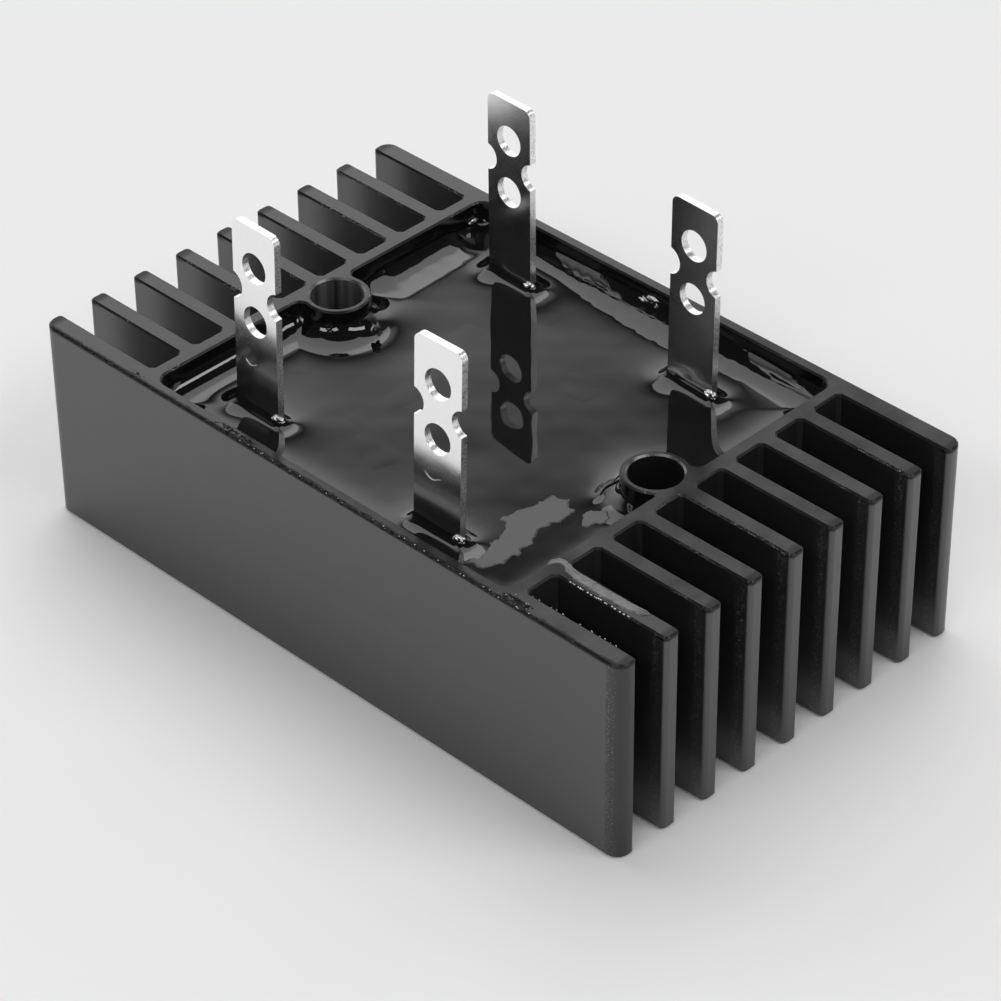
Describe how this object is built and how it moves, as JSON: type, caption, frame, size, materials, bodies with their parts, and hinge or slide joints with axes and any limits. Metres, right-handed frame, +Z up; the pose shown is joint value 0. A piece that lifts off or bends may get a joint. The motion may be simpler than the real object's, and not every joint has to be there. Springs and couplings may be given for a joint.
{
  "type": "bridge rectifier",
  "caption": "Potted power bridge rectifier: finned black aluminium housing open at the top, glossy resin fill, upright flat tab terminals with holes and notches, through screw bosses.",
  "frame": {"origin": "centre of the flat underside of the housing", "axes": "+X along the length, across the fin ends; +Y across the width; +Z up, out of the potted face towards the tab tips"},
  "size_m": [0.0822, 0.05, 0.0427],
  "materials": {
    "black_anodised": "black anodised, satin",
    "plain_aluminium": "milled, satin",
    "resin": "cast epoxy, glossy",
    "bond": "thermal adhesive, matte",
    "ceramic": "sintered alumina, matte",
    "copper": "rolled copper, satin",
    "silicon": "lapped silicon, satin",
    "solder": "soft solder, satin",
    "tinned_tab": "bright tin plate"
  },
  "bodies": {
    "root": {"finned_housing": "black_anodised", "base_plate": "plain_aluminium", "potting_resin": "resin", "bond_layer": "bond", "ceramic_insulator": "ceramic", "plus_plate": "copper", "minus_plate": "copper", "ac_strap_left": "copper", "ac_strap_right": "copper", "diode_plus_left": "silicon", "solder_under_plus_left": "solder", "solder_over_plus_left": "solder", "diode_plus_right": "silicon", "solder_under_plus_right": "solder", "solder_over_plus_right": "solder", "diode_minus_left": "silicon", "solder_under_minus_left": "solder", "solder_over_minus_left": "solder", "diode_minus_right": "silicon", "solder_under_minus_right": "solder", "solder_over_minus_right": "solder", "terminal_plus": "tinned_tab", "solder_terminal_plus": "solder", "terminal_minus": "tinned_tab", "solder_terminal_minus": "solder", "terminal_ac_front": "tinned_tab", "solder_terminal_ac_front": "solder", "terminal_ac_back": "tinned_tab", "solder_terminal_ac_back": "solder"}
  },
  "joints": []
}
